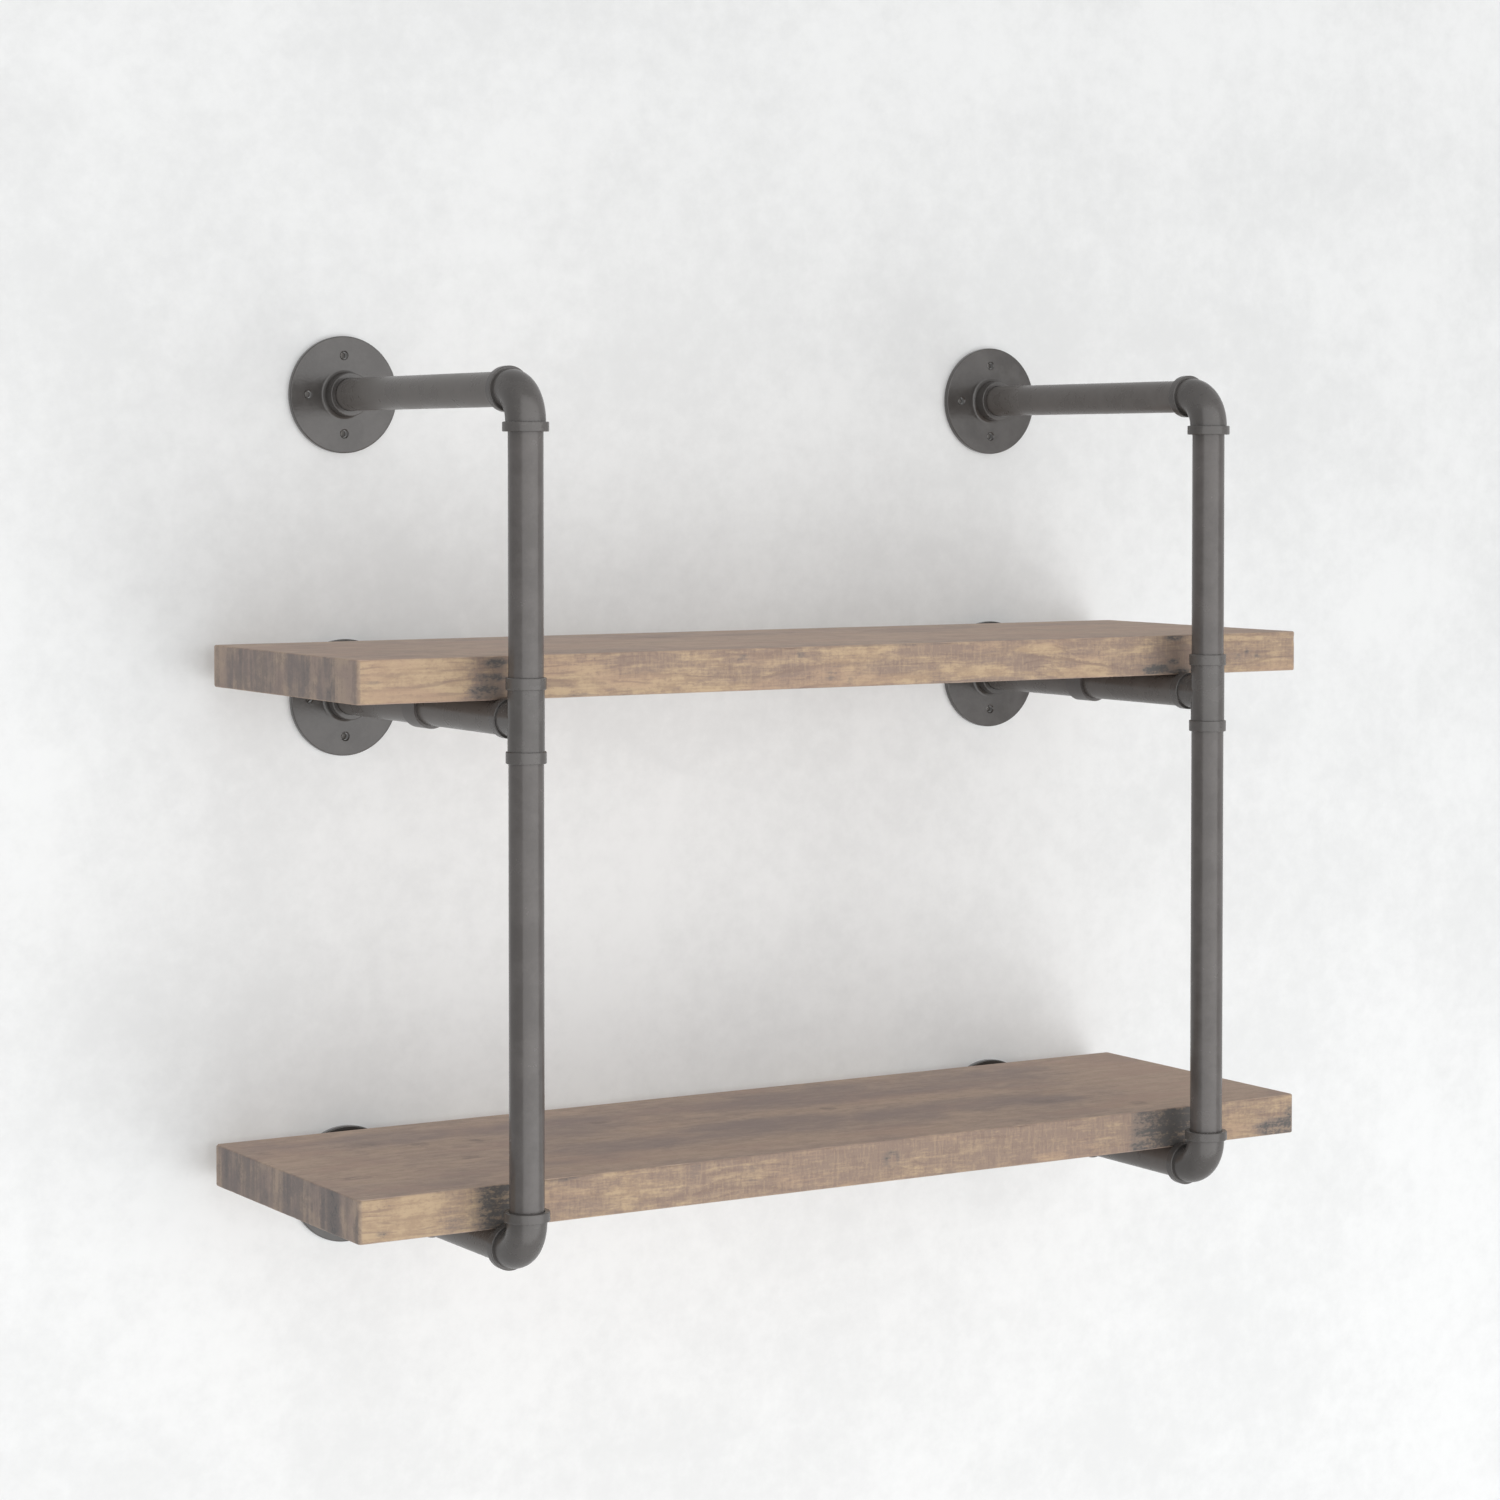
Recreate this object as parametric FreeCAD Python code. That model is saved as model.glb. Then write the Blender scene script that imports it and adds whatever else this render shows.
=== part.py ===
import FreeCAD, Part
import math
import os

# A wall shelf of two boards on a left and a right frame of threaded pipe.
# Each frame is three arms that stand out from wall flanges, joined at their front ends by an upright
# of two pipes: an elbow at the top, a tee in the middle and an elbow at the bottom. The upper board
# rests on the middle arms and the lower board on the bottom arms, and a U-shaped strap under each
# seat is screwed up into the board. Millimetres.
#
# X runs along the wall to the right, Y into the wall and Z up. The wall's face is the plane Y = 0.
# The origin is on that face, at the middle of the four outermost wall screws.

# Layout of the frames
frame_spacing = 650.0  # centre of the left frame to centre of the right one
reach = 323.0  # wall face to the axis of the uprights
upper_drop = 250.0  # axis of the top arms to axis of the middle arms
lower_drop = 404.0  # axis of the middle arms to axis of the bottom arms

# Pipe, three-quarter inch, with its coat of paint
pipe_diameter = 27.0
pipe_wall = 2.7

# Taper thread, drawn as a plain cone on its pitch diameter
thread_depth = 0.7  # pipe surface down to the pitch cone, where the cone starts
thread_taper = 1.0 / 16.0  # loss of diameter per unit of length
thread_length = 12.0
thread_clearance = 0.05  # radial, between the two cones
thread_run_out = 0.6  # free depth past the pipe's end
recess_depth = 2.0  # the mouth of every fitting takes the full pipe this far
recess_gap = 0.4  # radial gap round the pipe in that mouth

# Elbows and tees
fitting_core = 5.0  # between a pipe's end and the side of the pipe that crosses it
elbow_swell = 1.9  # how far the body stands proud of the pipe
elbow_rim_swell = 4.2
elbow_rim_width = 7.5
tee_swell = 0.6
tee_branch_inset = 0.1  # the branch is this much slimmer than the run, in radius
tee_branch_fillet = 1.2
tee_rim_swell = 2.05
tee_rim_width = 9.2
rim_rounding = 0.8

# Wall flanges
flange_diameter = 96.5
flange_thickness = 4.5
flange_rounding = 1.0
hub_swell = 4.4  # how far the hub stands proud of the pipe
hub_fillet = 3.0
pipe_setback = 3.5  # from the wall face to the pipe's end
wall_screw_margin = 16.0  # flange edge to the centre of a screw hole
wall_screw_hole = 6.0
wall_screw_sink = 8.0  # diameter of the countersink at the front face
wall_screw_count = 4

# Boards
board_overhang = 124.0  # past the centre of each frame
board_thickness = 34.0
board_front_gap = 1.5  # between the board and the mouths of the fittings in front of it
board_back_gap = 1.5  # between the board and the hubs behind it
board_corner = 3.5  # radius of the four upright edges
board_rounding = 1.5  # radius of the edges round the top and the underside

# Straps and their screws
strap_thickness = 2.5
strap_width = 22.0
strap_ear = 16.0  # flat length of each ear, past its bend
strap_bend = 1.5  # inner radius of the bend between leg and ear
strap_clearance = 0.1  # between the strap and the pipe
strap_corner = 5.0
strap_hole = 5.0
screw_shank = 4.2
screw_clearance = 0.1  # radial, in the board
screw_point = 5.0
screw_head_diameter = 8.6
screw_head_height = 2.8
screw_head_rounding = 1.3
screw_slot_width = 1.1
screw_slot_length = 4.8
screw_slot_depth = 1.3
pilot_spare = 2.0  # pilot hole left past the screw's point

# Worked out from the sizes above
pipe_radius = pipe_diameter / 2
bore_radius = pipe_radius - pipe_wall
thread_radius = pipe_radius - thread_depth
thread_end_radius = thread_radius - thread_length * thread_taper / 2
pipe_end_to_centre = pipe_radius + fitting_core
fitting_reach = pipe_end_to_centre + thread_length + recess_depth
hub_height = pipe_setback + thread_length + recess_depth
wall_screw_radius = flange_diameter / 2 - wall_screw_margin
total_drop = upper_drop + lower_drop
board_length = frame_spacing + 2 * board_overhang
board_front = reach - fitting_reach - board_front_gap
board_back = hub_height + board_back_gap
board_depth = board_front - board_back
screw_bite = board_thickness / 2
strap_y = -(board_front + board_back) / 2

SIDES = {"left": -frame_spacing / 2, "right": frame_spacing / 2}
LEVELS = {"top": total_drop / 2, "middle": total_drop / 2 - upper_drop, "bottom": -total_drop / 2}
RISERS = {"upper": ("top", "middle"), "lower": ("middle", "bottom")}
BOARDS = {"upper": "middle", "lower": "bottom"}

WALLWARD = FreeCAD.Vector(0, 1, 0)
FORWARD = FreeCAD.Vector(0, -1, 0)
UP = FreeCAD.Vector(0, 0, 1)
DOWN = FreeCAD.Vector(0, 0, -1)
CENTRE = FreeCAD.Vector(0, 0, 0)


def point(x, y, z):
    return FreeCAD.Vector(x, y, z)


def same(length, other_length):
    return abs(length - other_length) < 1e-6


def moved(shape, place):
    """The shape carried from the origin to a place."""
    copy = shape.copy()
    copy.translate(place)
    return copy


def circles_at(shape, direction, distance):
    """The round edges that lie in the plane square to a direction, at a distance along it."""
    return [
        edge
        for edge in shape.Edges
        if isinstance(edge.Curve, Part.Circle) and same(edge.CenterOfMass.dot(direction), distance)
    ]


def band(radius, start, end, direction):
    """A plain round band about an axis through the origin."""
    return Part.makeCylinder(radius, end - start, direction * start, direction)


def rim(radius, width, direction):
    """The raised band at a fitting's mouth, rounded on both edges."""
    plain = band(radius, fitting_reach - width, fitting_reach, direction)
    edges = circles_at(plain, direction, fitting_reach) + circles_at(plain, direction, fitting_reach - width)
    return plain.makeFillet(rim_rounding, edges)


def socket(direction, mouth):
    """The room for a pipe's end, bored inwards from a mouth at that distance along a direction."""
    inwards = direction * -1
    floor = mouth - recess_depth
    end = floor - thread_length
    end_radius = thread_end_radius + thread_clearance
    recess = band(pipe_radius + recess_gap, floor, mouth, direction)
    thread = Part.makeCone(
        thread_radius + thread_clearance, end_radius, thread_length, direction * floor, inwards
    )
    run_out = band(end_radius, end - thread_run_out, end, direction)
    return recess.fuse([thread, run_out])


def bend(bend_radius, tube_radius, outlet, other_outlet):
    """A quarter turn of round bar between two outlets at right angles."""
    centre = (outlet + other_outlet) * bend_radius
    section = Part.Face(Part.Wire(Part.makeCircle(tube_radius, outlet * bend_radius, outlet)))
    return section.revolve(centre, other_outlet.cross(outlet), 90)


def elbow(outlet, other_outlet):
    """A quarter-turn fitting, with its two axes crossing at the origin."""
    rim_start = fitting_reach - elbow_rim_width
    passage_end = pipe_end_to_centre - thread_run_out
    body = bend(rim_start, pipe_radius + elbow_swell, outlet, other_outlet)
    outlets = (outlet, other_outlet)
    solid = body.fuse([rim(pipe_radius + elbow_rim_swell, elbow_rim_width, way) for way in outlets])
    voids = [socket(way, fitting_reach) for way in outlets]
    voids.append(bend(passage_end, bore_radius, outlet, other_outlet))
    return solid.cut(voids)


def tee():
    """A fitting with an upright run and a branch towards the wall, axes crossing at the origin."""
    run_radius = pipe_radius + tee_swell
    rim_start = fitting_reach - tee_rim_width
    run = band(run_radius, -rim_start, rim_start, UP)
    branch = band(run_radius - tee_branch_inset, 0, rim_start, WALLWARD)
    body = run.fuse(branch)
    joint = [edge for edge in body.Edges if not isinstance(edge.Curve, (Part.Circle, Part.Line))]
    body = body.makeFillet(tee_branch_fillet, joint)
    outlets = (UP, DOWN, WALLWARD)
    solid = body.fuse([rim(pipe_radius + tee_rim_swell, tee_rim_width, way) for way in outlets])
    passage_end = pipe_end_to_centre - thread_run_out
    voids = [socket(way, fitting_reach) for way in outlets]
    voids.append(band(bore_radius, -passage_end, passage_end, UP))
    voids.append(band(bore_radius, 0, passage_end, WALLWARD))
    return solid.cut(voids)


def flange():
    """A round wall plate with a threaded hub, its back on the plane Y = 0 and its axis on Y."""
    plate = band(flange_diameter / 2, 0, flange_thickness, FORWARD)
    plate = plate.makeFillet(flange_rounding, circles_at(plate, FORWARD, flange_thickness))
    hub = band(pipe_radius + hub_swell, 0, hub_height, FORWARD)
    hub = hub.makeFillet(rim_rounding, circles_at(hub, FORWARD, hub_height))
    solid = plate.fuse(hub)
    root = [
        edge
        for edge in circles_at(solid, FORWARD, flange_thickness)
        if same(edge.Curve.Radius, pipe_radius + hub_swell)
    ]
    solid = solid.makeFillet(hub_fillet, root)
    voids = [socket(FORWARD, hub_height)]
    voids.append(band(thread_end_radius + thread_clearance, 0, pipe_setback, FORWARD))
    sink_depth = (wall_screw_sink - wall_screw_hole) / 2
    for number in range(wall_screw_count):
        angle = 2 * math.pi * number / wall_screw_count
        place = point(wall_screw_radius * math.cos(angle), 0, wall_screw_radius * math.sin(angle))
        sink_start = place + FORWARD * (flange_thickness - sink_depth)
        voids.append(Part.makeCylinder(wall_screw_hole / 2, flange_thickness, place, FORWARD))
        voids.append(
            Part.makeCone(wall_screw_hole / 2, wall_screw_sink / 2, sink_depth, sink_start, FORWARD)
        )
    return solid.cut(voids)


def pipe(mouth, other_mouth):
    """A pipe threaded at both ends, screwed into fittings whose mouths are at two points."""
    run = other_mouth - mouth
    direction = FreeCAD.Vector(run).normalize()
    start = mouth - direction * recess_depth
    end = other_mouth + direction * recess_depth
    body = Part.makeCylinder(pipe_radius, (end - start).Length, start, direction)
    tips = [
        Part.makeCone(thread_radius, thread_end_radius, thread_length, start, direction * -1),
        Part.makeCone(thread_radius, thread_end_radius, thread_length, end, direction),
    ]
    bore_start = start - direction * thread_length
    bore_length = (end - start).Length + 2 * thread_length
    bore = Part.makeCylinder(bore_radius, bore_length, bore_start, direction)
    return body.fuse(tips).cut(bore)


def strap_screw_places():
    """Where a strap's two screws stand, either side of the arm, measured from the arm's axis."""
    leg_outside = pipe_radius + strap_clearance + strap_thickness
    offset = leg_outside + strap_bend + strap_ear / 2
    return [point(-offset, 0, 0), point(offset, 0, 0)]


def strap():
    """A strip bent into a U under the pipe, with an ear each side against the board above.

    Its arm's axis runs along Y through the origin, and its ears lie under the height of the board.
    """
    inner = pipe_radius + strap_clearance
    outer = inner + strap_thickness
    ear_top = pipe_radius
    ear_bottom = ear_top - strap_thickness
    bend_height = ear_bottom - strap_bend
    ear_start = outer + strap_bend
    ear_end = ear_start + strap_ear
    diagonal = math.sqrt(0.5)
    outer_bend = strap_bend + strap_thickness

    def at(x, z):
        return point(x, -strap_width / 2, z)

    def line(a, b):
        return Part.LineSegment(a, b).toShape()

    def arc(a, via, b):
        return Part.Arc(a, via, b).toShape()

    edges = [arc(at(-inner, 0), at(0, -inner), at(inner, 0)), arc(at(-outer, 0), at(0, -outer), at(outer, 0))]
    for side in (-1, 1):
        inner_via = at(side * (ear_start - outer_bend * diagonal), bend_height + outer_bend * diagonal)
        outer_via = at(side * (ear_start - strap_bend * diagonal), bend_height + strap_bend * diagonal)
        edges.append(line(at(side * inner, 0), at(side * inner, bend_height)))
        edges.append(arc(at(side * inner, bend_height), inner_via, at(side * ear_start, ear_top)))
        edges.append(line(at(side * ear_start, ear_top), at(side * ear_end, ear_top)))
        edges.append(line(at(side * ear_end, ear_top), at(side * ear_end, ear_bottom)))
        edges.append(line(at(side * ear_end, ear_bottom), at(side * ear_start, ear_bottom)))
        edges.append(arc(at(side * ear_start, ear_bottom), outer_via, at(side * outer, bend_height)))
        edges.append(line(at(side * outer, bend_height), at(side * outer, 0)))
    section = Part.Face(Part.Wire(Part.__sortEdges__(edges)))
    solid = section.extrude(WALLWARD * strap_width)
    corners = [
        edge
        for edge in solid.Edges
        if isinstance(edge.Curve, Part.Line)
        and same(abs(edge.CenterOfMass.x), ear_end)
        and edge.BoundBox.ZLength > strap_thickness / 2
    ]
    solid = solid.makeFillet(strap_corner, corners)
    holes = [
        Part.makeCylinder(strap_hole / 2, strap_thickness, place + UP * ear_bottom, UP)
        for place in strap_screw_places()
    ]
    return solid.cut(holes)


def screw():
    """A round-headed wood screw that points up, the underside of its head at the origin."""
    shank_length = strap_thickness + screw_bite - screw_point
    head = Part.makeCylinder(screw_head_diameter / 2, screw_head_height, CENTRE, DOWN)
    head = head.makeFillet(screw_head_rounding, circles_at(head, DOWN, screw_head_height))
    shank = Part.makeCylinder(screw_shank / 2, shank_length, CENTRE, UP)
    tip = Part.makeCone(screw_shank / 2, 0, screw_point, UP * shank_length, UP)
    slot_corner = point(-screw_slot_length / 2, -screw_slot_width / 2, -screw_head_height)
    slot = Part.makeBox(screw_slot_length, screw_slot_width, screw_slot_depth, slot_corner)
    cross_slot = slot.copy()
    cross_slot.rotate(CENTRE, UP, 90)
    return head.fuse([shank, tip]).cut([slot, cross_slot])


def board(underside):
    """A board with its underside at a height, and pilot holes for the screws of its two straps."""
    corner = point(-board_length / 2, -board_front, underside)
    solid = Part.makeBox(board_length, board_depth, board_thickness, corner)
    upright_edges = [edge for edge in solid.Edges if edge.BoundBox.ZLength > board_thickness / 2]
    solid = solid.makeFillet(board_corner, upright_edges)
    level_edges = [edge for edge in solid.Edges if edge.BoundBox.ZLength < board_thickness / 2]
    solid = solid.makeFillet(board_rounding, level_edges)
    pilots = []
    for x in SIDES.values():
        for offset in strap_screw_places():
            place = point(x, strap_y, underside) + offset
            pilots.append(
                Part.makeCylinder(screw_shank / 2 + screw_clearance, screw_bite + pilot_spare, place, UP)
            )
    return solid.cut(pilots)


def export(name, shape):
    """Write one node; a group of separate solids stays a compound."""
    if len(shape.Solids) == 1:
        shape = shape.Solids[0]
    shape.exportStep("parts/" + name + ".step")


os.makedirs("parts", exist_ok=True)

one_flange = flange()
one_tee = tee()
top_elbow = elbow(WALLWARD, DOWN)
bottom_elbow = elbow(WALLWARD, UP)
one_strap = strap()
one_screw = screw()

for side, x in SIDES.items():
    corner = {level: point(x, -reach, z) for level, z in LEVELS.items()}
    for level, z in LEVELS.items():
        export(side + "_" + level + "_flange", moved(one_flange, point(x, 0, z)))
        arm_start = point(x, -hub_height, z)
        arm_end = corner[level] + WALLWARD * fitting_reach
        export(side + "_" + level + "_arm", pipe(arm_start, arm_end))
    export(side + "_top_elbow", moved(top_elbow, corner["top"]))
    export(side + "_tee", moved(one_tee, corner["middle"]))
    export(side + "_bottom_elbow", moved(bottom_elbow, corner["bottom"]))
    for name, (above, below) in RISERS.items():
        riser_top = corner[above] + DOWN * fitting_reach
        riser_bottom = corner[below] + UP * fitting_reach
        export(side + "_" + name + "_riser", pipe(riser_top, riser_bottom))
    for name, level in BOARDS.items():
        seat = point(x, strap_y, LEVELS[level])
        heads = seat + UP * (pipe_radius - strap_thickness)
        screws = [moved(one_screw, heads + offset) for offset in strap_screw_places()]
        export(side + "_" + name + "_strap", moved(one_strap, seat))
        export(side + "_" + name + "_strap_screws", Part.makeCompound(screws))

for name, level in BOARDS.items():
    export(name + "_board", board(LEVELS[level] + pipe_radius))
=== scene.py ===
import math

import bpy
import numpy as np
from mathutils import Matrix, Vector, noise


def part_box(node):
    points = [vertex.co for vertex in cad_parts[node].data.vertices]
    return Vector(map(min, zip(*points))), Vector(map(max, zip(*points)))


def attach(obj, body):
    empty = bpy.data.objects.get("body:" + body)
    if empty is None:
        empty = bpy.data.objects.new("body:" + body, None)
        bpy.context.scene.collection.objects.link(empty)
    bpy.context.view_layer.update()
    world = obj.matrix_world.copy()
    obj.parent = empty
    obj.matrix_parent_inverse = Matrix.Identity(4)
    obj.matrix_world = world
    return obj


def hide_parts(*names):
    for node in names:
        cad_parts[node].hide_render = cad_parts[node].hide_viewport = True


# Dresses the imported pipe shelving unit: two rustic boards on two frames of dark coated pipe, hung
# on a pale wall. Metres in the row frame: X along the wall, Y into it, Z up. Names that end in _MM,
# and the tables of the boards' figure, give millimetres. Colours are 8-bit sRGB.

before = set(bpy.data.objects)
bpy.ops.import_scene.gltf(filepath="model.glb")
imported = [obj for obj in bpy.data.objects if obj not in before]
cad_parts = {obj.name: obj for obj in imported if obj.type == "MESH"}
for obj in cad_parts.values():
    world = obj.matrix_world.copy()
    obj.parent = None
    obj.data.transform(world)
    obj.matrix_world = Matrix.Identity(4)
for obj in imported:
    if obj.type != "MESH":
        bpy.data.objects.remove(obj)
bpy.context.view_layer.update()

MM = 0.001
BOARDS = ("upper_board", "lower_board")

# Shape of the boards, rounded as the CAD boards are
CORNER_MM = 3.5
ROUNDING_MM = 1.5
EDGE_STEPS_MM = (0.0, 0.35, 0.8, 1.5, 2.4, 3.5)
MESH_STEP_MM = (3.4, 4.5, 2.3)

# Depth of the boards' wear under that shape
RUB_MM = 0.15  # all along the edges
NICK_MM = 0.55  # at the deepest nicks in the edges, on top of that
RELIEF_MM = 0.12  # between the raised grain of the faces
SWELL_MM = 0.1  # in the slow hollows of all faces
# Size of each pattern of wear, in cycles per millimetre along X, Y and Z
NICK_SCALE = (0.05, 0.11, 0.11)
RELIEF_SCALE = (0.02, 0.35, 0.35)
SWELL_SCALE = (0.006, 0.02, 0.02)

# Colours of the wood on the front and back, on the top and underside, and on the ends. They differ
# by face partly as the wood does, as at the end grain, and partly as painted light, each face's
# colour set for how brightly it is lit
WOOD_COLOURS_WITH_PAINTED_LIGHT = {
    "light": ((185, 162, 134), (191, 169, 152), (174, 156, 142)),
    "middle": ((167, 144, 121), (178, 157, 141), (153, 139, 129)),
    "rosy": ((172, 145, 125), (180, 155, 141), (155, 139, 133)),
    "worn": ((142, 124, 114), (149, 136, 132), (131, 123, 121)),
    "line": ((133, 114, 104), (146, 130, 120), (126, 117, 113)),
    "sooty": ((121, 113, 108), (134, 122, 116), (118, 113, 112)),
    "black": ((98, 95, 93), (118, 110, 108), (106, 105, 105)),
}

# Coating of each kind of metal piece: name, colour, how far the surface under it is cast rather
# than drawn (0 to 1), roughness and specular level. The colours are one dark coating, painted
# lighter or darker by kind for how each is lit: painted light on the arms, painted shade on the
# flanges beside their hubs
COATINGS_WITH_PAINTED_SHADING = {
    "flange": ("cast_coating_flange", (72, 69, 67), 0.25, 0.18, 0.62),
    "elbow": ("cast_coating_elbow", (82, 79, 77), 0.25, 0.25, 0.5),
    "tee": ("cast_coating_tee", (85, 82, 80), 0.25, 0.25, 0.5),
    "arm": ("pipe_coating_arm", (98, 94, 91), 0.0, 0.29, 0.35),
    "riser": ("pipe_coating_riser", (87, 83, 81), 0.1, 0.22, 0.5),
    "strap": ("strap_coating", (88, 84, 82), 0.15, 0.36, 0.5),
    "screws": ("screw_blacking", (76, 74, 73), 0.1, 0.34, 0.5),
}

# Wall and floor. Each has a share of its light its own, so that shadows on it stay faint
WALL_COLOUR, FLOOR_COLOUR = (240, 241, 241), (240, 240, 239)
WALL_OWN_LIGHT, FLOOR_OWN_LIGHT = 0.18, 0.55
WALL_GAP, WALL_REACH, WALL_TOP = 0.001, 5.0, 4.0
FLOOR_LEVEL, FLOOR_REACH = -1.15, 8.0
# Steps of 255 by which the colour changes in its dark and its pale blotches. Between these heights
# the wall goes over to the second pair, higher up and further right, which adds painted shade:
# the wall is painted darker towards the top and the right
NEAR_STEPS, SHADED_FAR_STEPS = (-9, 0), (-22, -12)
PAINTED_SHADE_MM = (-450.0, 850.0)
PAINTED_SHADE_LEAN = 0.35  # how much a millimetre to the right adds to the height
# Behind the flanges the wall is painted in their shade, darker and with none of its own light,
# out to a soft edge between these radii
FLANGE_SIDE_MM = 325.0
FLANGE_LEVELS_MM = (327.0, 77.0, -327.0)
FLANGE_SHADE_MM = (40.0, 47.0)
FLANGE_SHADE = (145, 142, 139)

# Figure of the boards. Each mark is (along, across, half length, half width, amount). Along is X on
# the long faces, and the distance from the back edge on the ends. Across runs down from the top
# edge on the front, back and ends, and forward from the back edge on the top and the underside.

# Charred places, and clear ones where the amount is below zero
CHARRING = {
    "upper_board": {
        "front": (
            (-340, 17, 19, 60, 0.6), (-333, 5, 10, 4, 3.1), (-338, 17, 14, 3, 3.2),
            (-342, 27, 16, 6, 3.0), (309, 17, 27, 60, 0.7), (316, 2, 10, 3, 3.5),
            (315, 23, 7, 3, 3.2), (299, 29, 17, 5, 3.3), (322, 31, 13, 3, 3.3), (-60, 6, 3, 7, 1.7),
            (-113, 7, 5, 3, 1.6), (-31, 24, 4, 5, 1.7), (-12, 28, 4, 3, 1.7), (385, 20, 4, 2, 1.5),
            (395, 16, 4, 2, 1.7), (405, 20, 4, 3, 1.8), (-436, 18, 7, 3, 0.9),
            (-262, 33, 24, 2, 1.6), (100, 33, 50, 2, 1.2), (30, 1, 60, 1, 1.6),
        ),
        "left": (
            (218, 30, 5, 8, 2.0), (228, 24, 4, 9, 1.7), (180, 15, 6, 14, 1.2), (56, 6, 5, 7, 1.2),
        ),
        "right": ((60, 12, 18, 14, 1.8), (190, 25, 10, 12, 1.6)),
        "back": ((-250, 20, 24, 40, 2.2), (120, 12, 30, 10, 1.6), (330, 24, 20, 40, 3.0)),
        "top": (
            (-300, 120, 12, 8, 1.6), (-190, 78, 18, 9, 1.5), (-82, 76, 16, 8, 1.6),
            (150, 190, 18, 8, 1.5),
        ),
        "under": ((-180, 120, 60, 20, 1.6), (240, 180, 70, 24, 1.6)),
    },
    "lower_board": {
        "front": (
            (-325, 17, 26, 60, 3.4), (-349, 22, 10, 16, 1.6), (-364, 27, 16, 9, 0.9),
            (289, 17, 18, 60, 3.0), (320, 17, 24, 60, 3.9), (432, 28, 25, 10, 3.0),
            (446, 20, 8, 12, 2.9), (28, 16, 10, 8, 1.7), (29, 17, 3, 5, -1.6),
            (-430, 27, 6, 3, 1.7), (85, 33, 12, 2, 1.8), (-275, 1, 16, 2, 1.8),
            (-157, 9, 6, 8, 1.0), (-104, 15, 7, 10, 0.9),
        ),
        "left": (
            (24, 10, 9, 16, 1.5), (49, 14, 7, 16, 1.3), (102, 18, 6, 16, 0.9),
            (142, 11, 14, 15, 1.3), (180, 14, 16, 16, 0.9), (207, 20, 8, 16, 1.5),
            (225, 17, 11, 40, 2.6), (265, 24, 4, 14, 2.6),
        ),
        "right": ((210, 20, 14, 40, 2.6), (90, 12, 16, 14, 1.6)),
        "back": ((-320, 14, 24, 40, 3.2), (40, 22, 40, 10, 1.6), (250, 12, 20, 40, 2.4)),
        "top": (
            (-308, 88, 9, 7, 2.1), (-298, 160, 10, 7, 1.9), (-262, 95, 6, 13, 1.5),
            (-352, 68, 24, 10, 1.4), (-411, 190, 14, 7, 1.5), (-432, 62, 9, 9, 1.6),
            (-135, 76, 12, 8, 1.6), (63, 120, 9, 7, 1.8), (240, 185, 16, 10, 1.5),
            (305, 235, 10, 9, 1.5),
        ),
        "under": ((-120, 90, 60, 22, 1.6), (200, 190, 80, 20, 1.6)),
    },
}
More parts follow.
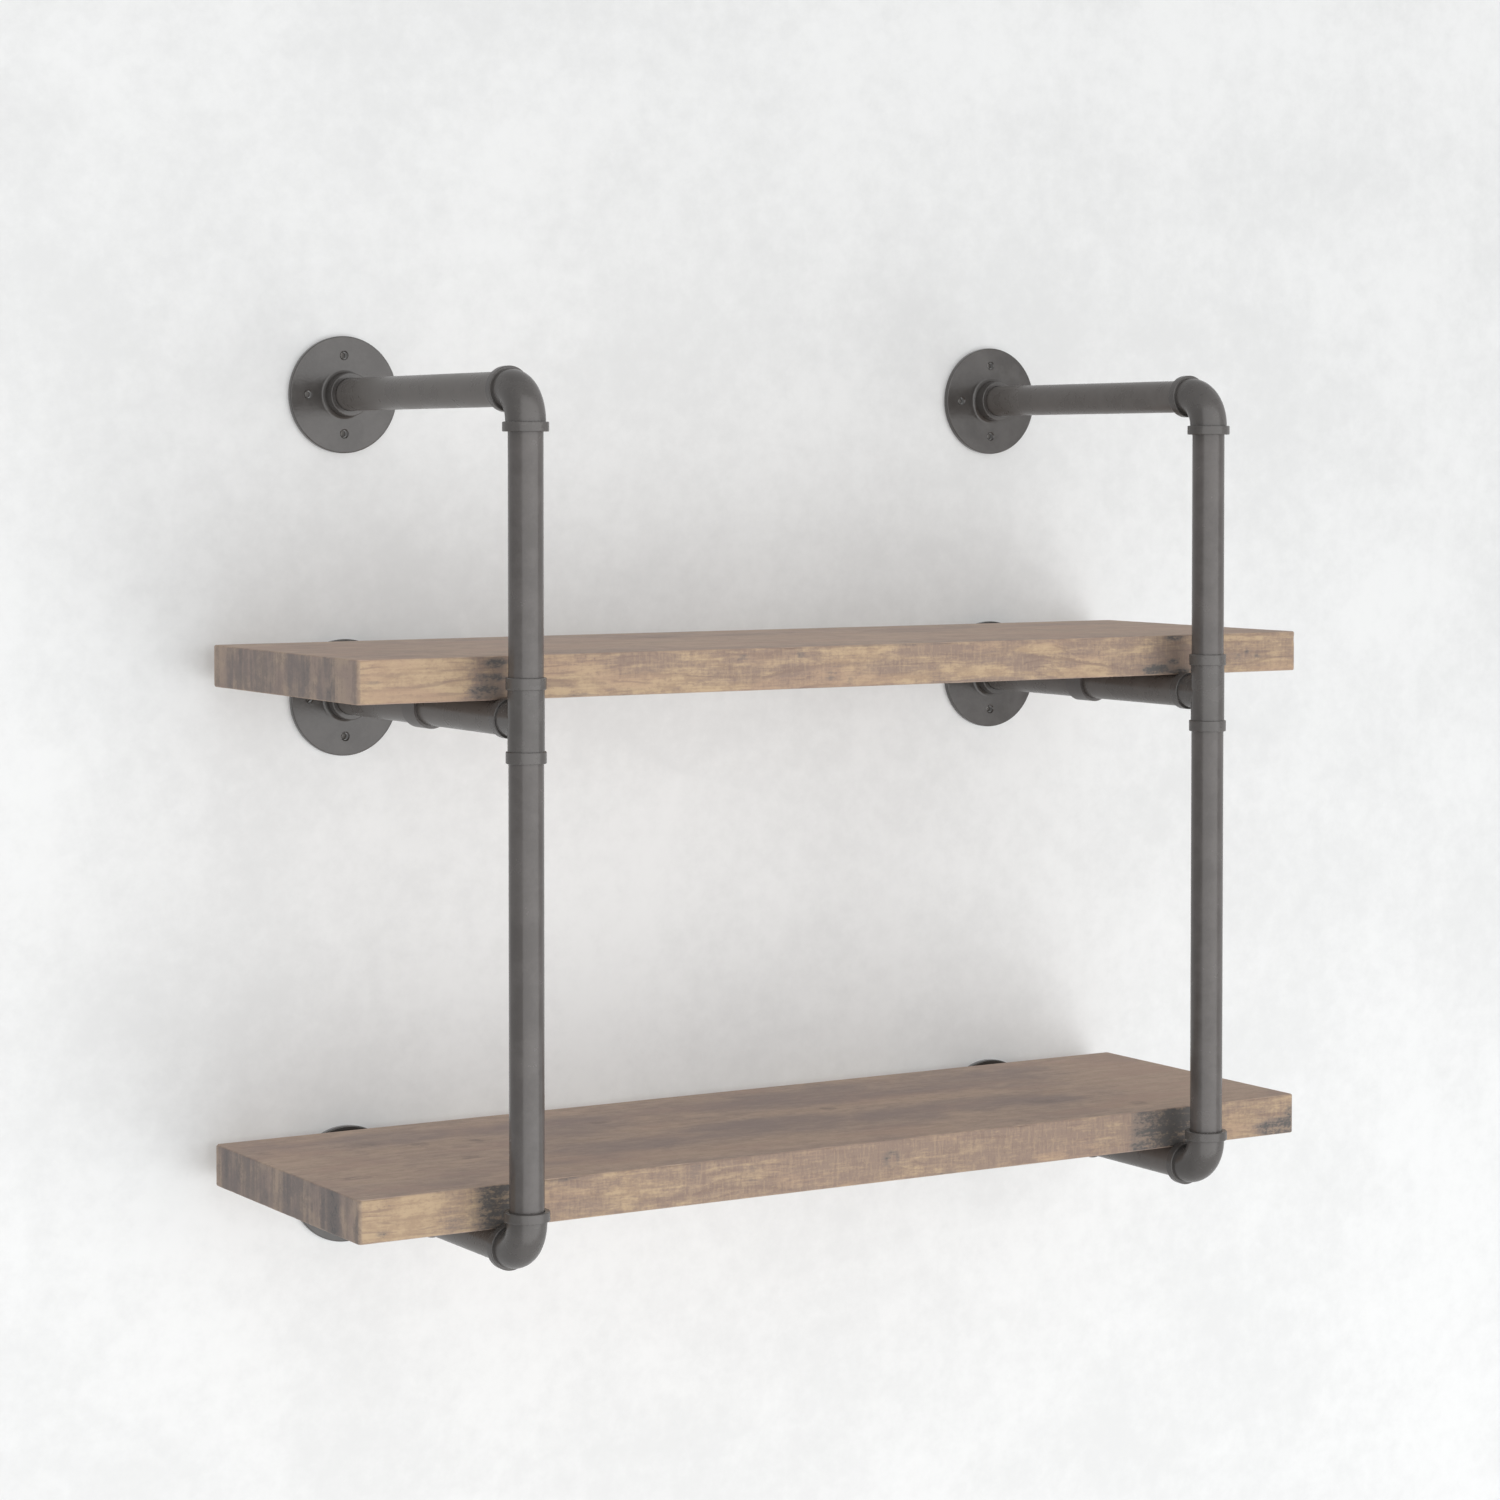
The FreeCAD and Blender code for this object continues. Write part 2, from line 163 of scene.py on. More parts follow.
# Worn, greyer places, and rubbed, lighter ones where the amount is below zero
WEATHERING = {
    "upper_board": {
        "front": (
            (-340, 17, 20, 60, 2.2), (-200, 8, 44, 8, 1.7), (-120, 22, 30, 6, 1.1),
            (-66, 18, 18, 6, 1.6), (-110, 6, 30, 6, 0.9), (62, 6, 36, 6, 1.9), (36, 19, 28, 6, 1.7),
            (110, 14, 30, 6, 1.1), (160, 19, 20, 8, 2.0), (225, 10, 30, 9, 0.8),
            (272, 17, 26, 26, 1.3), (312, 17, 26, 60, 2.3), (120, 33, 44, 3, 1.6),
            (408, 14, 44, 14, 0.2), (-400, 17, 50, 30, -1.6), (-265, 17, 30, 26, -0.9),
            (178, 9, 26, 4, -2.6), (120, 26, 26, 5, -1.8), (215, 29, 30, 4, -2.2),
            (-10, 8, 30, 8, -1.0), (30, 29, 40, 4, -1.0), (-190, 22, 40, 6, -0.8),
            (200, 17, 300, 60, 0.2),
        ),
        "left": (
            (8, 16, 14, 30, -1.2), (34, 12, 10, 24, 1.6), (60, 12, 8, 20, 0.6),
            (84, 16, 10, 30, 1.5), (112, 16, 10, 30, 1.8), (165, 14, 24, 24, 2.3),
            (214, 20, 12, 24, 1.9), (134, 10, 9, 20, -1.0), (250, 16, 18, 30, -0.9),
        ),
        "top": (
            (-150, 40, 120, 22, 0.8), (-40, 70, 60, 26, 0.9), (250, 55, 130, 24, 0.8),
            (-300, 30, 80, 14, 0.7), (0, 170, 300, 70, -0.7), (330, 160, 120, 90, -0.8),
        ),
    },
    "lower_board": {
        "front": (
            (-346, 18, 34, 40, 0.8), (-264, 14, 34, 26, 1.5), (-157, 9, 9, 14, 1.6),
            (-104, 14, 11, 18, 1.4), (-10, 16, 50, 26, 1.6), (30, 16, 26, 20, 1.6),
            (72, 16, 20, 20, 0.8), (140, 26, 40, 8, 1.0), (165, 14, 16, 20, 1.2),
            (232, 16, 40, 24, 1.5), (274, 17, 16, 60, 3.0), (425, 12, 26, 12, 0.9),
            (-418, 17, 36, 40, -1.8), (-205, 18, 36, 26, -0.5), (-72, 12, 22, 12, -0.7),
            (120, 17, 320, 60, 1.7), (390, 24, 22, 14, -1.4), (190, 29, 18, 4, -1.8),
        ),
        "left": (
            (33, 16, 18, 40, 2.2), (70, 18, 12, 30, 1.2), (100, 18, 16, 40, 1.7),
            (145, 16, 20, 40, 2.2), (186, 18, 14, 30, 1.5), (221, 17, 20, 50, 2.6),
            (249, 10, 12, 30, -1.2), (8, 16, 10, 30, -0.4),
        ),
        "top": (
            (150, 60, 240, 40, 1.6), (-175, 75, 80, 40, 1.6), (-170, 178, 80, 26, 1.7),
            (-20, 165, 90, 40, 1.8), (95, 180, 50, 36, 1.8), (180, 165, 66, 36, 1.4),
            (320, 60, 50, 34, 1.4), (240, 182, 44, 20, 1.4), (-320, 50, 90, 30, 1.2),
            (400, 140, 70, 110, -1.8), (-400, 140, 50, 90, -0.8), (360, 230, 90, 34, -1.2),
            (-90, 238, 240, 18, -1.0), (0, 118, 160, 14, -0.8), (200, 125, 60, 12, -0.8),
        ),
    },
}
# Where the grain of the front faces bows: (along, half length, drop of the lines)
BOWS = {
    "upper_board": (
        (-400, 60, 3), (-105, 45, 7), (-30, 50, -3), (90, 70, -4), (178, 22, -9), (250, 50, 8),
        (400, 40, 2),
    ),
    "lower_board": (
        (-420, 30, 4), (-300, 60, -2), (-115, 60, -9), (-20, 50, 6), (29, 18, -8), (150, 60, 3),
        (230, 50, -3),
    ),
}
# The boldest growth line of each front face: (along, down from the top edge, strength)
BOLD_LINES = {
    "upper_board": (
        (-405, 23, 0.3), (-360, 16, 0.6), (-325, 17, 0.7), (-280, 20, 0.3), (-180, 19, 0.2),
        (-130, 21, 0.5), (-95, 24, 0.8), (-70, 19, 1.0), (-40, 15.5, 0.7), (30, 14, 0.2),
        (150, 13, 0.2), (182, 15, 1.0), (210, 19, 1.2), (240, 23, 1.2), (262, 28, 0.9),
        (290, 30, 0.0), (449, 20, 0.2),
    ),
    "lower_board": (
        (-449, 20, 0.2), (-300, 14, 0.3), (-185, 28, 0.5), (-150, 24, 0.8), (-115, 24, 0.8),
        (-80, 29, 0.7), (-50, 34, 0.4), (60, 22, 0.2), (150, 18, 0.3), (260, 16, 0.1),
        (449, 15, 0.4),
    ),
}


def linear(red, green, blue):
    """A colour as Blender's sockets take it."""
    values = [v / 255 for v in (red, green, blue)]
    linears = [v / 12.92 if v <= 0.04045 else ((v + 0.055) / 1.055) ** 2.4 for v in values]
    return (*linears, 1.0)


def stepped(colour, steps):
    """The colour with this many steps of 255 added, as Blender's sockets take it."""
    return linear(*(v + steps for v in colour))


def smooth_step(value, low, high):
    """0 below low, 1 above high, and a smooth way between. High may be the smaller one."""
    t = np.clip((value - low) / (high - low), 0, 1)
    return t * t * (3 - 2 * t)


def noise_at(points, scale, seed):
    """Perlin noise from -1 to 1 at each point, its coordinates in millimetres times the scale."""
    offset = Vector((seed * 17.3, seed * 5.1, seed * 9.7))
    scaled = points * np.array(scale)
    return np.array([noise.noise(Vector(p) + offset) for p in scaled])


class Graph:
    """A material's nodes. Each call adds nodes and returns the socket that they give."""

    def __init__(self, name):
        self.material = bpy.data.materials.new(name)
        self.material.use_nodes = True
        tree = self.material.node_tree
        self.nodes, self.links = tree.nodes, tree.links
        self.nodes.clear()
        self.output = self.nodes.new("ShaderNodeOutputMaterial")

    def node(self, kind, inputs=(), **settings):
        """One node, and not its socket, with each input a number, a colour or another's socket."""
        made = self.nodes.new("ShaderNode" + kind)
        for key, value in settings.items():
            setattr(made, key, value)
        for key, value in dict(inputs).items():
            if isinstance(value, bpy.types.NodeSocket):
                self.links.new(value, made.inputs[key])
            else:
                made.inputs[key].default_value = value
        return made

    def place(self):
        """Where the surface is, in millimetres."""
        where = self.node("TexCoord").outputs["Object"]
        return self.scaled(where, (1 / MM, 1 / MM, 1 / MM))

    def scaled(self, vector, factors):
        return self.node("VectorMath", {0: vector, 1: factors}, operation="MULTIPLY").outputs[0]

    def axis(self, vector, name):
        return self.node("SeparateXYZ", {0: vector}).outputs[name]

    def attribute(self, name):
        return self.node("Attribute", attribute_name=name).outputs["Fac"]

    def math(self, operation, *values):
        return self.node("Math", dict(enumerate(values)), operation=operation).outputs[0]

    def add(self, total, *others):
        for other in others:
            total = self.math("ADD", total, other)
        return total

    def minus(self, total, *others):
        for other in others:
            total = self.math("SUBTRACT", total, other)
        return total

    def times(self, total, *others):
        for other in others:
            total = self.math("MULTIPLY", total, other)
        return total

    def spread(self, *parts):
        """The sum of noises, each taken as its distance from its mean times a weight."""
        total = 0.0
        for field, weight in parts:
            total = self.add(total, self.times(self.minus(field, 0.5), weight))
        return total

    def noise(self, vector, scale=1.0, detail=2.0, roughness=0.5, distortion=0.0):
        inputs = {
            "Vector": vector,
            "Scale": scale,
            "Detail": detail,
            "Roughness": roughness,
            "Distortion": distortion,
        }
        return self.node("TexNoise", inputs).outputs["Fac"]

    def step(self, value, low, high, start=0.0, end=1.0):
        """Start below low, end above high, and a smooth way between."""
        inputs = {
            "Value": value,
            "From Min": low,
            "From Max": high,
            "To Min": start,
            "To Max": end,
        }
        return self.node("MapRange", inputs, interpolation_type="SMOOTHSTEP").outputs[0]

    def mixed(self, factor, first, second):
        """A number between first and second."""
        return self.node("Mix", {0: factor, 2: first, 3: second}, data_type="FLOAT").outputs[0]

    def blend(self, factor, first, second):
        """A colour between first and second."""
        return self.node("Mix", {0: factor, 6: first, 7: second}, data_type="RGBA").outputs[2]

    def finish(self, colour, roughness, height, relief, specular):
        """A Principled surface whose bump stands relief metres high."""
        bump = self.node("Bump", {"Height": height, "Distance": relief, "Strength": 1.0})
        inputs = {
            "Base Color": colour,
            "Roughness": roughness,
            "Normal": bump.outputs[0],
            "Specular IOR Level": specular,
        }
        surface = self.node("BsdfPrincipled", inputs)
        self.links.new(surface.outputs[0], self.output.inputs[0])
        return self.material


def wood():
    """Rustic stained board: tan where rubbed, grey-brown where worn, black where charred."""
    g = Graph("rustic_wood")
    place = g.place()
    level, end = g.attribute("top"), g.attribute("end")
    weathering, charring = g.attribute("weathering"), g.attribute("charring")
    upright = g.minus(1.0, g.math("MAXIMUM", level, end))

    def grain(scale, detail, roughness=0.5, distortion=0.0):
        """Noise with this many cycles to the millimetre along X, Y and Z."""
        return g.noise(g.scaled(place, scale), 1.0, detail, roughness, distortion)

    # Fibres run along X, and show on the ends as upright streaks
    fibre = grain((0.02, 0.75, 0.75), 4, 0.62)
    strand = grain((0.014, 0.2, 0.2), 4, 0.6, 0.3)
    streak = grain((0.05, 0.085, 0.012), 5, 0.62)
    strand = g.mixed(end, strand, streak)
    # Saw marks stand across the grain, on the upright faces
    hatch = g.mixed(upright, 0.5, grain((0.36, 0.07, 0.07), 3, 0.7))
    stroke = grain((0.045, 0.55, 0.55), 4, 0.6)
    speck = grain((0.26, 0.46, 0.46), 5, 0.7)
    mottle = grain((0.06, 0.11, 0.13), 6, 0.68)
    cloud = grain((0.014, 0.022, 0.055), 5, 0.55, 0.5)
    hue = grain((0.011, 0.03, 0.04), 4)

    # Growth lines come and go, and are faint on the top and the ends
    wander = grain((0.007, 0.05, 0.05), 3, distortion=0.2)
    lapse = grain((0.025, 0.06, 0.06), 4)
    phase = g.add(g.times(g.attribute("rings"), 0.8), g.times(wander, 26.0), g.spread((speck, 2.4)))
    lines = g.times(
        g.step(g.math("SINE", phase), 0.35, 1.0),
        g.step(lapse, 0.44, 0.6),
        g.step(upright, 0.0, 1.0, start=0.12, end=1.0),
    )
    from_bold = g.add(g.attribute("bold_offset"), g.spread((speck, 3.0), (mottle, 6.0)))
    bold = g.step(g.times(from_bold, from_bold), 0.0, 3.6, start=1.0, end=0.0)
    bold = g.times(bold, g.attribute("bold_strength"))

    # Worn wood is smudged on the top and the ends, and patchy on the upright faces
    end_strands = g.times(g.spread((strand, 1.0)), g.step(end, 0.0, 1.0, start=1.0, end=8.0))
    smudges = g.add(weathering, g.spread((cloud, 5.0), (mottle, 2.4)), end_strands)
    patches = g.add(
        weathering,
        g.spread((cloud, 5.0), (mottle, 4.6), (strand, 3.4), (hatch, 1.6)),
        g.spread((stroke, 4.6), (speck, 2.2)),
    )
    weather = g.mixed(upright, g.step(smudges, -1.4, 3.0), g.step(patches, -1.1, 2.2))

    # Charring is a soft veil of soot with black patches breaking through it
    veil = g.add(charring, g.spread((mottle, 2.4), (strand, 2.4), (stroke, 3.0), (speck, 1.2)))
    soot = g.step(veil, 0.4, 2.0)
    burns = g.add(charring, g.spread((speck, 7.0), (mottle, 6.5), (strand, 3.5), (stroke, 2.6)))
    char = g.step(g.minus(burns, g.mixed(upright, 0.9, 0.4)), 1.5, 3.5)

    # Each colour turns with the face: partly the wood's own, partly painted light for how each face
    # is lit
    shades = {}
    for name, (upright_colour, level_colour, end_colour) in WOOD_COLOURS_WITH_PAINTED_LIGHT.items():
        along = g.blend(level, linear(*upright_colour), linear(*level_colour))
        shades[name] = g.blend(end, along, linear(*end_colour))

    end_tone = g.times(g.spread((strand, 1.0)), g.step(end, 0.0, 1.0, start=1.0, end=4.0))
    tone = g.add(g.spread((fibre, 1.0), (mottle, 2.2), (speck, 0.8)), end_tone)
    colour = g.blend(g.step(tone, -0.36, 0.36), shades["light"], shades["middle"])
    saw_shade = g.step(hatch, 0.53, 0.68, end=0.3)
    saw_light = g.step(hatch, 0.47, 0.34, end=0.28)
    layers = (
        (g.step(hue, 0.46, 0.64, end=0.6), "rosy"),
        (g.times(weather, 0.85), "worn"),
        (g.times(lines, 0.5), "line"),
        (g.times(bold, 0.55), "line"),
        (g.times(saw_shade, g.add(0.3, weather)), "line"),
        (g.times(saw_light, weather), "light"),
        (g.step(speck, 0.58, 0.70, end=0.42), "line"),
        (g.step(speck, 0.42, 0.32, end=0.32), "light"),
        (g.times(soot, 0.5), "sooty"),
        (char, "black"),
    )
    for cover, shade in layers:
        colour = g.blend(cover, colour, shades[shade])

    height = g.spread((fibre, 0.6), (speck, 0.35), (hatch, 0.2))
    height = g.minus(height, g.times(lines, 0.15), g.times(char, 0.25))
    roughness = g.add(g.times(fibre, 0.2), g.minus(0.56, g.times(char, 0.08)))
    return g.finish(colour, roughness, height, relief=0.00035, specular=0.15)


def coated_metal(name, colour, cast, roughness, specular):
    """Satin dark coating, with fine pits and worn specks as far as the surface under it is cast."""
    g = Graph(name)
    place = g.place()
    mottle = g.noise(place, scale=0.035, detail=5, roughness=0.65)
    peel = g.noise(place, scale=0.5, detail=2)
    sand = g.noise(place, scale=1.1, detail=4, roughness=0.75)
    pitted, dark, pale, worn = (stepped(colour, steps) for steps in (-14, -4, 5, 24))
    shade = g.blend(g.step(mottle, 0.35, 0.65), dark, pale)
    shade = g.blend(g.step(sand, 0.56, 0.72, end=0.14 + 0.3 * cast), shade, worn)
    shade = g.blend(g.step(sand, 0.44, 0.30, end=0.5 * cast), shade, pitted)
    height = g.add(g.times(peel, 0.6), g.times(sand, cast))
    rough = g.step(mottle, 0.3, 0.7, start=roughness - 0.05, end=roughness + 0.06)
    return g.finish(shade, rough, height, relief=0.00005 + 0.00016 * cast, specular=specular)


def steps_between(low, high, spacing):
    """Places for the lattice along one side of a board, closer together at its two edges."""
    inset = EDGE_STEPS_MM[-1]
    count = round((high - low - 2 * inset) / spacing)
    inner = np.linspace(low + inset, high - inset, count + 1)[1:-1]
    near = [low + step for step in EDGE_STEPS_MM]
    far = [high - step for step in reversed(EDGE_STEPS_MM)]
    return np.concatenate((near, inner, far))


def lattice(sides):
    """Points on the outside of a box of lattice lines, and the quads between them."""
    counts = [len(side) for side in sides]
    number = -np.ones(counts, dtype=int)
    outside = np.zeros(counts, dtype=bool)
    for axis in range(3):
        for end in (0, counts[axis] - 1):
            index = [slice(None)] * 3
            index[axis] = end
            outside[tuple(index)] = True
    number[outside] = np.arange(outside.sum())
    where = np.argwhere(outside)
    points = np.stack([sides[axis][where[:, axis]] for axis in range(3)], axis=1)
    quads = []
    for axis in range(3):
        for end in (0, counts[axis] - 1):
            sheet = np.take(number, end, axis=axis)
            a, b, c, d = sheet[:-1, :-1], sheet[1:, :-1], sheet[1:, 1:], sheet[:-1, 1:]
            flip = (end == 0) != (axis == 1)
            order = (d, c, b, a) if flip else (a, b, c, d)
            quads.append(np.stack(order, axis=-1).reshape(-1, 4))
    return points, np.concatenate(quads)


def rounded(points, low, high):
    """The box's points carried onto a board with round corners and edges, and their normals."""
    tiny = 1e-9  # keeps a division from being by zero
    core = np.clip(points[:, :2], low[:2] + CORNER_MM, high[:2] - CORNER_MM)
    offset = points[:, :2] - core
    length = np.linalg.norm(offset, axis=1)
    reach = np.abs(offset).max(axis=1)
    outward = offset / np.maximum(length, tiny)[:, None]
    inset = CORNER_MM - reach
    middle = np.clip(points[:, 2], low[2] + ROUNDING_MM, high[2] - ROUNDING_MM)
    rise = points[:, 2] - middle
    run = np.clip(ROUNDING_MM - inset, 0, None)
    square = np.maximum(run, np.abs(rise))
    scale = square / np.maximum(np.hypot(run, rise), tiny)
    run_now, rise_now = run * scale, rise * scale
    new_reach = np.where(run > 0, CORNER_MM - ROUNDING_MM + run_now, reach)
    place = np.column_stack((core + outward * new_reach[:, None], middle + rise_now))
    normal = np.column_stack((outward * run_now[:, None], rise_now))
    return place, normal / np.maximum(np.linalg.norm(normal, axis=1), tiny)[:, None]


def marks(table, along, across):
    """How strongly the marks of one face show at each point.

    Of the marks above zero the strongest counts, and those below zero are taken off it.
    """
    total = np.zeros(len(along))
    for centre_along, centre_across, half_along, half_across, amount in table:
        off_along, off_across = along - centre_along, across - centre_across
        distance = np.hypot(off_along / half_along, off_across / half_across)
        shape = amount * smooth_step(distance, low=1.35, high=0.55)
        stronger = np.abs(shape) > np.abs(total)
        total = np.where(stronger, shape, total) if amount > 0 else total + shape
    return total


def figure(name, place, normal, low, high):
    """What the wood material reads at each point of a board, by attribute."""
    x, back_distance, fall = place[:, 0], high[1] - place[:, 1], high[2] - place[:, 2]
    share = normal**2
    faces = {
        "front": (share[:, 1] * (normal[:, 1] < 0), x, fall),
        "back": (share[:, 1] * (normal[:, 1] > 0), x, fall),
        "left": (share[:, 0] * (normal[:, 0] < 0), back_distance, fall),
        "right": (share[:, 0] * (normal[:, 0] > 0), back_distance, fall),
        "top": (share[:, 2] * (normal[:, 2] > 0), x, back_distance),
        "under": (share[:, 2] * (normal[:, 2] < 0), x, back_distance),
    }

    def painted(tables):
        """The marks of every face, each as far as the point faces that way."""
        rows = tables[name]
        return sum(part * marks(rows.get(face, ()), u, v) for face, (part, u, v) in faces.items())

    bow = sum(drop * np.exp(-(((x - centre) / half) ** 2)) for centre, half, drop in BOWS[name])
    line_x, line_fall, line_strength = zip(*BOLD_LINES[name])
    front, level = faces["front"][0], share[:, 2]
    # The colour of the ends, partly painted light, wraps a little way round their corners onto the
    # front
    to_end = np.minimum(x - low[0], high[0] - x)
    end_wrap = smooth_step(to_end, low=3.6, high=1.2) * (1 - level)
    end = np.maximum(share[:, 0], 0.8 * end_wrap * front)
    upright_rings = np.where(end > 0.5, 0.6 * back_distance, fall - bow)
    return {
        "top": level,
        "end": end,
        "charring": painted(CHARRING),
        "weathering": painted(WEATHERING),
        "rings": np.where(level > 0.5, back_distance + 0.4 * bow, upright_rings),
        "bold_offset": fall - np.interp(x, line_x, line_fall),
        "bold_strength": np.interp(x, line_x, line_strength) * front,
    }


def dressed_board(name, material):
    """A board in place of the CAD board, with worn edges, raised grain and its figure."""
    low, high = (np.array(corner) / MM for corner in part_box(name))
    sides = [steps_between(low[axis], high[axis], MESH_STEP_MM[axis]) for axis in range(3)]
    points, quads = lattice(sides)
    place, normal = rounded(points, low, high)
    seed = BOARDS.index(name) + 1

    on_edge = 1 - smooth_step(np.abs(normal).max(axis=1), low=0.86, high=0.995)
    nicks = smooth_step(noise_at(place, NICK_SCALE, seed), low=0.12, high=0.55)
    grain = 0.5 + 0.5 * noise_at(place, RELIEF_SCALE, seed + 3)
    swell = 0.5 + 0.5 * noise_at(place, SWELL_SCALE, seed + 5)
    depth = on_edge * (RUB_MM + NICK_MM * nicks) + RELIEF_MM * grain * (1 - on_edge)
    depth = depth + SWELL_MM * swell
    worn = place - normal * depth[:, None]

    mesh = bpy.data.meshes.new(name + "_dressed")
    mesh.from_pydata((worn * MM).tolist(), [], quads.tolist())
    mesh.validate()
    mesh.shade_smooth()
    for key, values in figure(name, place, normal, low, high).items():
        layer = mesh.attributes.new(key, "FLOAT", "POINT")
        layer.data.foreach_set("value", np.asarray(values, dtype=np.float32))
    mesh.materials.append(material)

    board = bpy.data.objects.new(name + "_wood", mesh)
    bpy.context.scene.collection.objects.link(board)
    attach(board, "root")
    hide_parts(name)


def stage_graph(name, colour):
    """Nodes of a plain pale surface: the graph, where it is, its blotches and mottled colour."""
    g = Graph(name)
    place = g.place()
    broad = g.times(g.noise(place, scale=0.004, detail=6, roughness=0.62), 1.6)
    fine = g.noise(place, scale=0.045, detail=6, roughness=0.7)
    blotches = g.step(g.add(broad, fine), 0.95, 1.65)
    dark, pale = (stepped(colour, steps) for steps in NEAR_STEPS)
    return g, place, blotches, g.blend(blotches, dark, pale)


def half_lit(g, shade, own_light):
    """A matt surface of this shade that has a share of its light its own."""
    matt = g.node("BsdfDiffuse", {"Color": shade}).outputs[0]
    glow = g.node("Emission", {"Color": shade}).outputs[0]
    return g.node("MixShader", {0: own_light, 1: matt, 2: glow}).outputs[0]


def floor_material():
    g, _, _, shade = stage_graph("pale_floor", FLOOR_COLOUR)
    g.links.new(half_lit(g, shade, FLOOR_OWN_LIGHT), g.output.inputs[0])
    return g.material


def wall_material():
    g, place, blotches, shade = stage_graph("pale_wall", WALL_COLOUR)
    x, z = g.axis(place, "X"), g.axis(place, "Z")

    # Painted shade: the wall is painted a little darker towards the top and the right
    dark, pale = (stepped(WALL_COLOUR, steps) for steps in SHADED_FAR_STEPS)
    height = g.add(z, g.times(x, PAINTED_SHADE_LEAN))
    shade = g.blend(g.step(height, *PAINTED_SHADE_MM), shade, g.blend(blotches, dark, pale))

    # What shows through the holes of the flanges is painted shade: the wall there is painted
    # darker, with none of its own light
    sideways = g.minus(g.math("ABSOLUTE", x), FLANGE_SIDE_MM)
    nearest = 1000.0
    for flange_level in FLANGE_LEVELS_MM:
        upward = g.minus(z, flange_level)
        squares = g.add(g.times(sideways, sideways), g.times(upward, upward))
        nearest = g.math("MINIMUM", g.math("POWER", squares, 0.5), nearest)
    shade = g.blend(g.step(nearest, *FLANGE_SHADE_MM), linear(*FLANGE_SHADE), shade)
    own_light = g.step(nearest, *FLANGE_SHADE_MM, end=WALL_OWN_LIGHT)

    # The wall is clear from behind, so that the unit's back stays in view
    plaster = half_lit(g, shade, own_light)
    behind = g.node("NewGeometry").outputs["Backfacing"]
    clear = g.node("BsdfTransparent").outputs[0]
    surface = g.node("MixShader", {0: behind, 1: plaster, 2: clear}).outputs[0]
    g.links.new(surface, g.output.inputs[0])
    return g.material


def panel(name, corners, material):
    """A flat stage surface that only the camera sees, so it takes shadows and blocks no light."""
    mesh = bpy.data.meshes.new(name)
    mesh.from_pydata(corners, [], [(0, 1, 2, 3)])
    mesh.materials.append(material)
    made = bpy.data.objects.new(name, mesh)
    bpy.context.scene.collection.objects.link(made)
    made.visible_diffuse = made.visible_glossy = False
    made.visible_transmission = made.visible_shadow = False


def sun(name, towards, spread, level):
    """Even light from one direction. What faces it gets this level, as a share of its colour."""
    data = bpy.data.lights.new(name, "SUN")
    data.angle = math.radians(spread)
    data.energy = level * math.pi
    made = bpy.data.objects.new(name, data)
    made.rotation_euler = Vector(towards).to_track_quat("Z", "Y").to_euler()
    made.visible_glossy = False
    bpy.context.scene.collection.objects.link(made)


def softbox(name, place, aim, size, brightness):
    """A light that shows only in reflections, as a square of this brightness."""
    data = bpy.data.lights.new(name, "AREA")
    data.size = size
    data.energy = brightness * math.pi * size**2
    made = bpy.data.objects.new(name, data)
    made.location = place
    made.rotation_euler = (Vector(place) - Vector(aim)).to_track_quat("Z", "Y").to_euler()
    made.visible_camera = made.visible_diffuse = False
    bpy.context.scene.collection.objects.link(made)


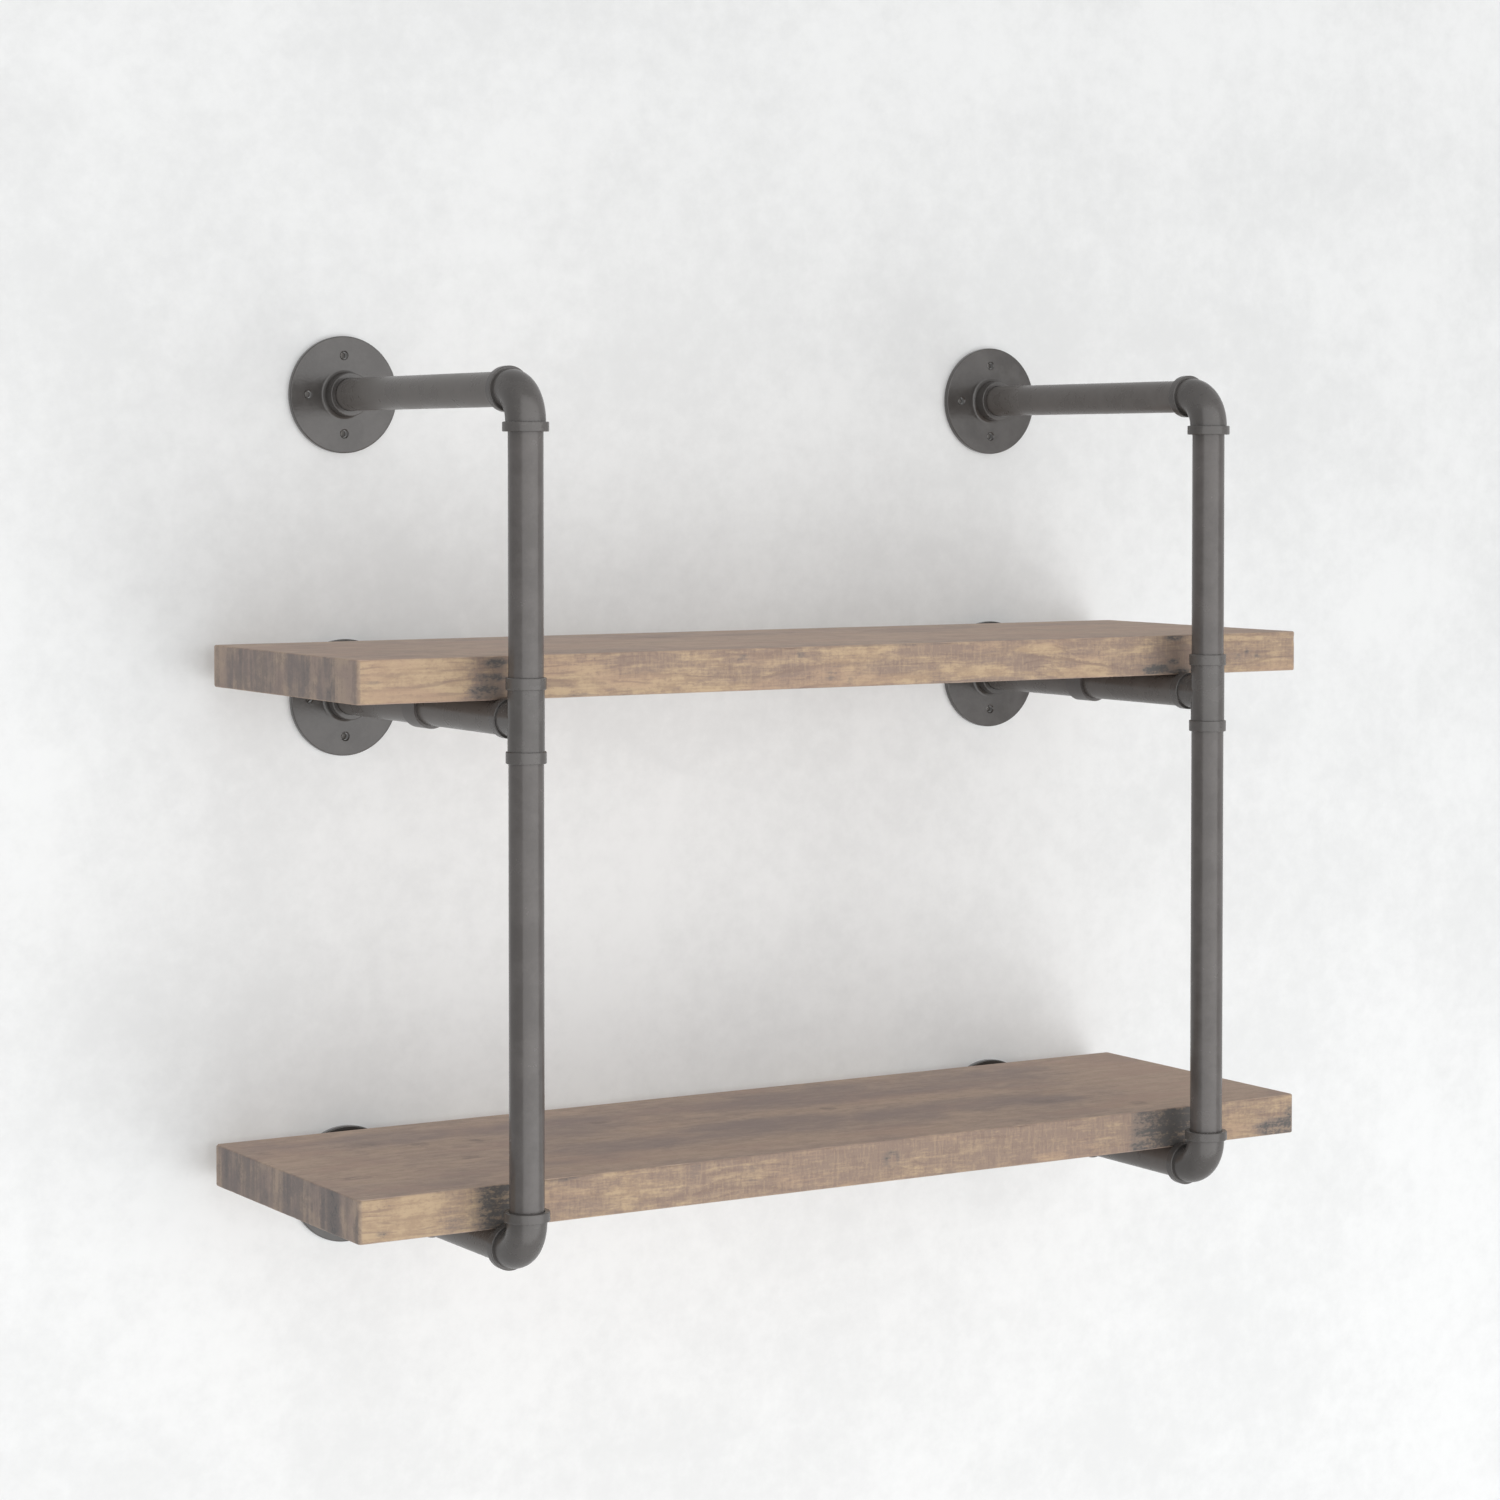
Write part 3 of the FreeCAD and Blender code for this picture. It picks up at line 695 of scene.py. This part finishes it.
def sky(level_above, level_below, slope, background):
    """Even light from all round, and a pale background where the camera sees it.

    One level goes over into the other between directions that rise by -slope and by slope.
    """
    world = bpy.data.worlds.new("studio")
    bpy.context.scene.world = world
    world.use_nodes = True
    nodes, links = world.node_tree.nodes, world.node_tree.links
    nodes.clear()
    direction = nodes.new("ShaderNodeTexCoord").outputs["Generated"]
    height = nodes.new("ShaderNodeSeparateXYZ")
    links.new(direction, height.inputs[0])
    level = nodes.new("ShaderNodeMapRange")
    level.inputs["From Min"].default_value = -slope
    level.inputs["From Max"].default_value = slope
    level.inputs["To Min"].default_value = level_below
    level.inputs["To Max"].default_value = level_above
    links.new(height.outputs["Z"], level.inputs["Value"])
    light = nodes.new("ShaderNodeBackground")
    light.inputs["Color"].default_value = (1.0, 1.0, 1.0, 1.0)
    links.new(level.outputs[0], light.inputs["Strength"])
    seen = nodes.new("ShaderNodeBackground")
    seen.inputs["Color"].default_value = background
    path = nodes.new("ShaderNodeLightPath")
    mix = nodes.new("ShaderNodeMixShader")
    links.new(path.outputs["Is Camera Ray"], mix.inputs[0])
    links.new(light.outputs[0], mix.inputs[1])
    links.new(seen.outputs[0], mix.inputs[2])
    links.new(mix.outputs[0], nodes.new("ShaderNodeOutputWorld").inputs[0])


# Metal
metals = {kind: coated_metal(*coating) for kind, coating in COATINGS_WITH_PAINTED_SHADING.items()}
for node_name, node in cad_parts.items():
    piece_kind = node_name.split("_")[-1]
    if piece_kind in metals:
        for material_slot in node.material_slots:
            material_slot.material = metals[piece_kind]

# Wood
rustic = wood()
for board_name in BOARDS:
    dressed_board(board_name, rustic)

# Stage
panel(
    "wall_backdrop",
    [
        (-WALL_REACH, WALL_GAP, FLOOR_LEVEL),
        (WALL_REACH, WALL_GAP, FLOOR_LEVEL),
        (WALL_REACH, WALL_GAP, WALL_TOP),
        (-WALL_REACH, WALL_GAP, WALL_TOP),
    ],
    wall_material(),
)
panel(
    "floor",
    [
        (-FLOOR_REACH, -FLOOR_REACH, FLOOR_LEVEL),
        (FLOOR_REACH, -FLOOR_REACH, FLOOR_LEVEL),
        (FLOOR_REACH, FLOOR_REACH, FLOOR_LEVEL),
        (-FLOOR_REACH, FLOOR_REACH, FLOOR_LEVEL),
    ],
    floor_material(),
)

# Light
sky(level_above=0.68, level_below=0.71, slope=0.7, background=linear(243, 243, 243))
sun("key", towards=(0.53, -0.85, -0.29), spread=46, level=0.27)
sun("front_fill", towards=(0.55, -3.25, -0.35), spread=52, level=0.265)
softbox(
    "front_softbox",
    place=(0.15, -1.03, 0.0),
    aim=(0.383, -0.18, 0.0),
    size=2.1,
    brightness=1.4,
)

# Camera
camera_data = bpy.data.cameras.new("camera")
camera_data.sensor_width = 36.0
camera_data.lens = 89.05
camera_data.shift_y = -0.12
camera = bpy.data.objects.new("camera", camera_data)
camera.location = (-1.6339, -2.7928, 0.2729)
camera.rotation_euler = (math.radians(90 - 1.693), 0.0, math.radians(-31.380))
bpy.context.scene.collection.objects.link(camera)
bpy.context.scene.camera = camera
bpy.context.scene.view_settings.view_transform = "Standard"
